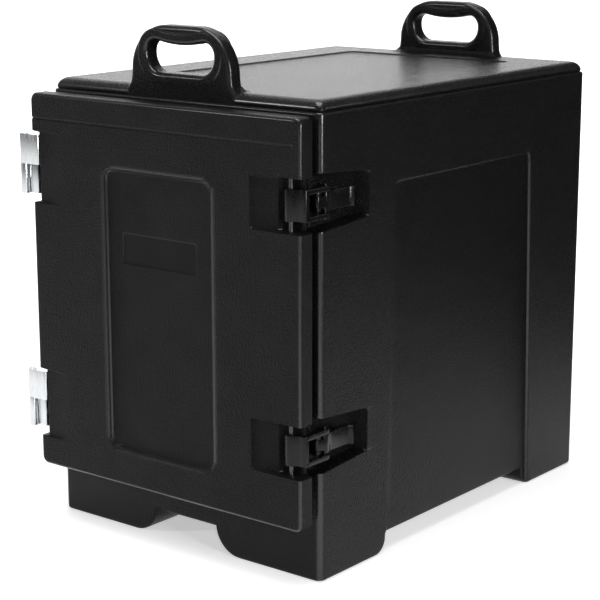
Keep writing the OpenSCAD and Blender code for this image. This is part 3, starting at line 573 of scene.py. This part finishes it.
def polished_steel(name, colour_hex, rough, scratch):
    """Polished metal: bright, with fine polishing lines that run up and down, scratch in metres apart."""
    material, where = start_material(name)
    across = add_node(material, "ShaderNodeMapping",
                      {"Vector": where, "Scale": (1.0 / scratch, 1.0 / scratch, 0.03 / scratch)})
    lines = add_node(material, "ShaderNodeTexNoise",
                     {"Vector": across.outputs["Vector"], "Scale": 1.0, "Detail": 4.0})
    smear = add_node(material, "ShaderNodeTexNoise", {"Vector": where, "Scale": 70.0, "Detail": 3.0})
    colour = add_node(material, "ShaderNodeMix", {"Factor": smear.outputs["Fac"]}, data_type="RGBA")
    clean = linear(colour_hex)
    smeared = (*[0.86 * c for c in clean[:3]], 1.0)
    colour.inputs[6].default_value, colour.inputs[7].default_value = clean, smeared
    gloss = add_node(material, "ShaderNodeMapRange",
                     {"Value": lines.outputs["Fac"], "From Min": 0.3, "From Max": 0.7,
                      "To Min": rough[0], "To Max": rough[1]})
    grooves = add_node(material, "ShaderNodeBump",
                       {"Height": lines.outputs["Fac"], "Strength": 0.35, "Distance": 0.00006})
    return finish_material(material, {"Base Color": colour.outputs[2], "Roughness": gloss.outputs["Result"],
                                      "Normal": grooves.outputs["Normal"]}, **{"Metallic": 1.0})


stainless = polished_steel("polished_stainless_steel", "#d6d8da", (0.16, 0.34), 0.0006)


def rounded_prism(outline, low, high, rim):
    """A flat outline of (x, y) points, anticlockwise, standing from low to high, whose top and bottom
    edges are quarter rounds: each ring is drawn in by rim (1 - cos a) at rim (1 - sin a) from the end."""
    outline = np.asarray(outline, float)
    a = np.radians(np.linspace(90, 0, 4))
    levels = [(rim * (1 - math.cos(t)), low + rim * (1 - math.sin(t))) for t in a]
    levels += [(inset, low + high - height) for inset, height in levels[::-1]]
    points = np.concatenate([np.column_stack([drawn_in(outline, inset), np.full(len(outline), height)])
                             for inset, height in levels])
    count = len(outline)
    index = np.arange(len(points)).reshape(-1, count)
    sides = np.stack([index[:-1], np.roll(index[:-1], -1, 1), np.roll(index[1:], -1, 1), index[1:]], -1)
    cap = np.array(tessellate_polygon([[Vector((px, py, 0.0)) for px, py in drawn_in(outline, rim)]]))
    turn = np.cross(*(outline[cap[0]][[1, 2]] - outline[cap[0][0]]))
    cap = cap if turn > 0 else cap[:, ::-1]
    top = cap + index[-1, 0]
    return points, [list(f) for group in (sides.reshape(-1, 4), cap[:, ::-1], top) for f in group]


def joined(*parts):
    """Several closed shells as one list of points and one of faces."""
    points, faces = [], []
    for part_points, part_faces in parts:
        shift = sum(len(p) for p in points)
        points.append(part_points)
        faces += [[i + shift for i in f] for f in part_faces]
    return np.concatenate(points), faces


def strip_outline(path, thickness):
    """The outline of a bent strip seen on edge: its middle line moved half its thickness to each side."""
    path = np.asarray(path, float)
    along = np.gradient(path, axis=0)
    along = along / np.hypot(*along.T)[:, None]
    normal = np.stack([-along[:, 1], along[:, 0]], 1) * thickness / 2
    return np.concatenate([path - normal, (path + normal)[::-1]])


def fold(corner, start_deg, radius=2.2, steps=6):
    """A quarter bend of a strip that runs along +X and turns to +Y, about a centre one radius to the
    left of the corner and one radius past it."""
    return round_arc((corner[0] - radius, corner[1] + radius), radius, start_deg, start_deg + 90, steps)


roll_r = 4.45
door_path = np.concatenate([round_arc(hinge_axis, roll_r, -30, 270, 40),
                            fold((-210.3, 1.55), -90), [[-210.3, 21.8]]])
body_path = np.concatenate([round_arc(hinge_axis, roll_r, 30, -270, 40),
                            fold((-220.3, 10.45), -90), [[-220.3, 87.8]]])
for name, height in zip(("upper", "lower"), hinge_heights):
    for half, path, low, high, body in (("door", door_path, height + 0.2, height + 39.0, "door"),
                                        ("body", body_path, height - 39.0, height - 0.2, "cabinet")):
        points, faces = rounded_prism(strip_outline(path, sheet_t), low, high, 0.3)
        leaf = new_piece(f"{name}_{half}_leaf", points, faces, stainless)
        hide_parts(f"{name}_hinge_{half}_leaf")
        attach(leaf, body)
    finish_cad(f"{name}_hinge_pin", stainless)
for node in ("hinge_door_screws", "hinge_body_screws"):
    finish_cad(node, stainless)


# ---------------------------------------------------------------------------------------------
# Two draw latches of glossy injection-moulded nylon. The hook's front end curls round a blackened
# keeper pin in the door's pocket, its two arms reach back to a pin in the lever, and the lever
# turns in a bracket on the floor of the cabinet's pocket.

def glossy_nylon(name, dark, light):
    """Injection-moulded black nylon: glossy, with a soft flow waviness and faint handling marks."""
    material, where = start_material(name)
    flow = add_node(material, "ShaderNodeTexNoise", {"Vector": where, "Scale": 60.0, "Detail": 2.0})
    marks = add_node(material, "ShaderNodeTexNoise", {"Vector": where, "Scale": 420.0, "Detail": 4.0})
    colour = add_node(material, "ShaderNodeMix", {"Factor": flow.outputs["Fac"]}, data_type="RGBA")
    colour.inputs[6].default_value, colour.inputs[7].default_value = linear(dark), linear(light)
    gloss = add_node(material, "ShaderNodeMapRange",
                     {"Value": marks.outputs["Fac"], "From Min": 0.35, "From Max": 0.7,
                      "To Min": 0.16, "To Max": 0.34})
    wave = add_node(material, "ShaderNodeBump",
                    {"Height": flow.outputs["Fac"], "Strength": 0.4, "Distance": 0.0006})
    return finish_material(material, {"Base Color": colour.outputs[2], "Roughness": gloss.outputs["Result"],
                                      "Normal": wave.outputs["Normal"]},
                           **{"IOR": 1.53, "Specular IOR Level": 0.22})


nylon = glossy_nylon("glossy_black_nylon", "#070708", "#0c0c0e")
keeper = np.array([197.0, 12.0])
lever_pivot = np.array([210.0, 44.0])
hook_pivot = np.array([213.5, 54.5])
pin_steel = polished_steel("blackened_steel_pin", "#4b4c50", (0.22, 0.40), 0.0009)

jaw_tip = round_arc(keeper, 6.1, 216, 216, 1)[0]
jaw = np.concatenate([round_arc(keeper, 7.9, 216, 270, 12),
                      [[200.0, 4.6], [203.6, 6.6], [206.0, 9.4], [208.0, 10.5], [212.0, 10.5]],
                      round_arc((215.5, 14.5), 4.0, -90, 0, 7),
                      [[219.5, 16.0], [214.6, 16.0], [214.0, 15.0], [201.0, 15.0]],
                      round_arc(keeper, 4.3, 25, -143, 20), round_arc(jaw_tip, 1.8, 36, 216, 8)[1:-1]])
arm = np.concatenate([[[214.5, 12.6], [218.6, 12.6], [219.5, 13.6], [219.5, 30.0], [219.5, 50.0]],
                      round_arc(hook_pivot, 6.0, 0, 180, 20),
                      [[207.5, 52.0], [209.6, 48.6], [213.4, 46.6], [214.5, 44.0], [214.5, 30.0]]])
knuckle = np.concatenate([round_arc(lever_pivot, 5.0, 150, 345, 24), hook_pivot + [[4.2, -1.0], [-3.8, 2.0]]])
plate = np.concatenate([round_arc(hook_pivot, 4.5, 190, 350, 18),
                        [[217.6, 57.0], [214.4, 64.0], [213.5, 70.0], [213.5, 98.0],
                         [214.6, 101.6], [218.1, 104.4], [218.3, 106.2], [216.4, 107.8], [213.6, 106.6],
                         [210.4, 103.0], [209.0, 99.0], [209.0, 64.0], [208.8, 60.0]]])
lug = np.concatenate([round_arc(lever_pivot, 5.0, -60, 150, 20),
                      [[204.0, 49.0], [202.0, 49.0], [202.0, 41.2], [205.0, 40.6]]])
base = np.array([[202.0, 41.2], [204.0, 41.2], [204.0, 91.8], [202.0, 91.8]])
jaw_half_h, arm_in, plate_half_h, knuckle_half_h, lug_in = 19.0, 13.0, 12.0, 7.0, 7.5
for name, height in zip(("upper", "lower"), pocket_heights):
    hook = joined(rounded_prism(jaw, height - jaw_half_h, height + jaw_half_h, 0.8),
                  rounded_prism(arm, height - jaw_half_h, height - arm_in, 0.8),
                  rounded_prism(arm, height + arm_in, height + jaw_half_h, 0.8))
    lever = joined(rounded_prism(knuckle, height - knuckle_half_h, height + knuckle_half_h, 0.5),
                   rounded_prism(plate, height - plate_half_h, height + plate_half_h, 1.0))
    bracket = joined(rounded_prism(base, height - plate_half_h, height + plate_half_h, 0.4),
                     rounded_prism(lug, height - plate_half_h, height - lug_in, 0.5),
                     rounded_prism(lug, height + lug_in, height + plate_half_h, 0.5))
    for part, (points, faces), body in (("hook", hook, f"{name}_hook_body"),
                                        ("lever", lever, f"{name}_lever_body"),
                                        ("latch_bracket", bracket, "cabinet")):
        piece = new_piece(f"{name}_{part}_moulding", points, faces, nylon)
        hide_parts(f"{name}_{part}")
        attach(piece, body)
    for pin in ("keeper_pin", "hook_pin", "lever_pin"):
        finish_cad(f"{name}_{pin}", pin_steel)
finish_cad("latch_screws", pin_steel)


# ---------------------------------------------------------------------------------------------
# Sealed inside the walls: rigid foam, foamed in place, and knurled brass inserts for the screws.

def rigid_foam(name, dark, light):
    """Polyurethane foam: dull and cream, with painted shade darkening the open cells, which are about 2 mm
    across.
    """
    material, where = start_material(name)
    cells = add_node(material, "ShaderNodeTexVoronoi", {"Vector": where, "Scale": 500.0})
    # Painted shade: the colour darkens from each cell's middle towards its border, which the bump sets lower.
    colour = add_node(material, "ShaderNodeValToRGB", {"Fac": cells.outputs["Distance"]})
    colour.color_ramp.elements[0].color, colour.color_ramp.elements[1].color = linear(light), linear(dark)
    pits = add_node(material, "ShaderNodeBump",
                    {"Height": cells.outputs["Distance"], "Strength": 0.8, "Distance": 0.0008}, invert=True)
    return finish_material(material, {"Base Color": colour.outputs["Color"], "Normal": pits.outputs["Normal"]},
                           **{"Roughness": 0.9})


foam = rigid_foam("rigid_polyurethane_foam", "#b39f68", "#dfd2a2")
brass = polished_steel("knurled_brass", "#c9a55a", (0.24, 0.42), 0.0008)
for node in ("cabinet_foam", "door_foam"):
    finish_cad(node, foam)
for node in ("cabinet_inserts", "door_inserts"):
    finish_cad(node, brass)


# ---------------------------------------------------------------------------------------------
# Stage: a white floor that glows faintly and sweeps up behind the carrier; on its right its colour and glow
# fall to grey, painted shade standing in for light falling off. It stands in a dim room with one soft overhead
# light and small strong lamps round it.

floor_run = 3.2
bend_r = 1.3
camera_heading = math.radians(38.98)
camera_tilt = math.radians(76.76)
camera_roll = math.radians(-0.17)


def sweep_point(s, width):
    """A floor that turns up into a wall: flat for s up to floor_run, a quarter round of radius bend_r,
    then straight up."""
    angle = np.clip((s - floor_run) / bend_r, 0.0, np.pi / 2)
    forward = np.minimum(s, floor_run) + bend_r * np.sin(angle)
    up = bend_r * (1 - np.cos(angle)) + np.maximum(s - floor_run - bend_r * np.pi / 2, 0.0)
    return width, forward, up


white, where = start_material("matt_white_paper")
fibre = add_node(white, "ShaderNodeTexNoise", {"Vector": where, "Scale": 30.0, "Detail": 3.0})
paper = add_node(white, "ShaderNodeMapRange", {"Value": fibre.outputs["Fac"], "To Min": 0.82, "To Max": 0.9})
# Painted shade: towards the right the paper's colour falls from white to grey and its glow dims, a painted
# light falloff.
to_the_right = add_node(white, "ShaderNodeVectorMath",
                        {0: where, 1: (0.878, 0.505, 0.0)}, operation="DOT_PRODUCT")
painted_falloff = add_node(white, "ShaderNodeMapRange",
                {"Value": to_the_right.outputs["Value"], "From Min": 0.84, "From Max": 0.48})
painted_shade_tone = add_node(white, "ShaderNodeMix", {"Factor": painted_falloff.outputs["Result"]}, data_type="RGBA")
painted_shade_tone.inputs[6].default_value, painted_shade_tone.inputs[7].default_value = linear("#4c4c4c"), linear("#f4f4f4")
glow = add_node(white, "ShaderNodeMapRange", {"Value": painted_falloff.outputs["Result"], "To Min": 0.03, "To Max": 0.5})
finish_material(white, {"Roughness": paper.outputs["Result"], "Base Color": painted_shade_tone.outputs[2],
                        "Emission Strength": glow.outputs["Result"]}, **{"Emission Color": linear("#ffffff")})
along, width = np.meshgrid(np.linspace(-9.0, 9.5, 60), np.linspace(-9.0, 9.0, 24), indexing="ij")
across, forward, up = sweep_point(along.ravel(), width.ravel())
ground = np.stack([across * math.cos(camera_heading) - forward * math.sin(camera_heading),
                   across * math.sin(camera_heading) + forward * math.cos(camera_heading), up], 1)
index = np.arange(len(ground)).reshape(along.shape)
faces = np.stack([index[:-1, :-1], index[:-1, 1:], index[1:, 1:], index[1:, :-1]], -1).reshape(-1, 4)[:, ::-1]
floor = new_piece("floor_sweep", ground * 1000.0 - frame_shift, faces, white)

world = bpy.data.worlds.new("studio")
bpy.context.scene.world = world
world.use_nodes = True
world.node_tree.nodes["Background"].inputs["Color"].default_value = linear("#ffffff")
world.node_tree.nodes["Background"].inputs["Strength"].default_value = 0.14


def soft_light(name, at, target, size, power):
    """A square soft box at one point, turned to another."""
    lamp = bpy.data.lights.new(name, "AREA")
    lamp.shape = "RECTANGLE"
    lamp.size, lamp.size_y = size
    lamp.energy = power
    holder = bpy.data.objects.new(name, lamp)
    holder.location = at
    holder.rotation_euler = (Vector(target) - Vector(at)).to_track_quat("-Z", "Y").to_euler()
    bpy.context.scene.collection.objects.link(holder)


soft_light("overhead", (0.1, -0.4, 2.3), (0.0, -0.1, 0.0), (1.5, 1.5), 34.0)
soft_light("left_front", (-1.7, -2.4, 1.4), (0.0, -0.2, 0.35), (0.22, 0.3), 16.0)
soft_light("right_front", (2.3, -0.9, 0.8), (0.2, -0.1, 0.35), (0.25, 1.2), 36.0)
soft_light("right_back", (2.3, 2.1, 1.0), (0.1, 0.0, 0.35), (0.25, 0.5), 5.0)
soft_light("backdrop", (-1.7, 2.1, 3.3), (-2.8, 3.5, 1.5), (3.0, 0.6), 110.0)

camera_data = bpy.data.cameras.new("camera")
camera_data.lens = 107.17
camera_data.sensor_width = 36.0
camera_data.shift_x, camera_data.shift_y = 0.0305, 0.0107
camera_data.clip_end = 60.0
camera = bpy.data.objects.new("camera", camera_data)
bpy.context.scene.collection.objects.link(camera)
camera.matrix_world = (Matrix.Translation((1.4732, -1.8876, 0.8232))
                       @ Matrix.Rotation(camera_heading, 4, "Z") @ Matrix.Rotation(camera_tilt, 4, "X")
                       @ Matrix.Rotation(camera_roll, 4, "Z"))
bpy.context.scene.camera = camera
bpy.context.scene.view_settings.view_transform = "Standard"
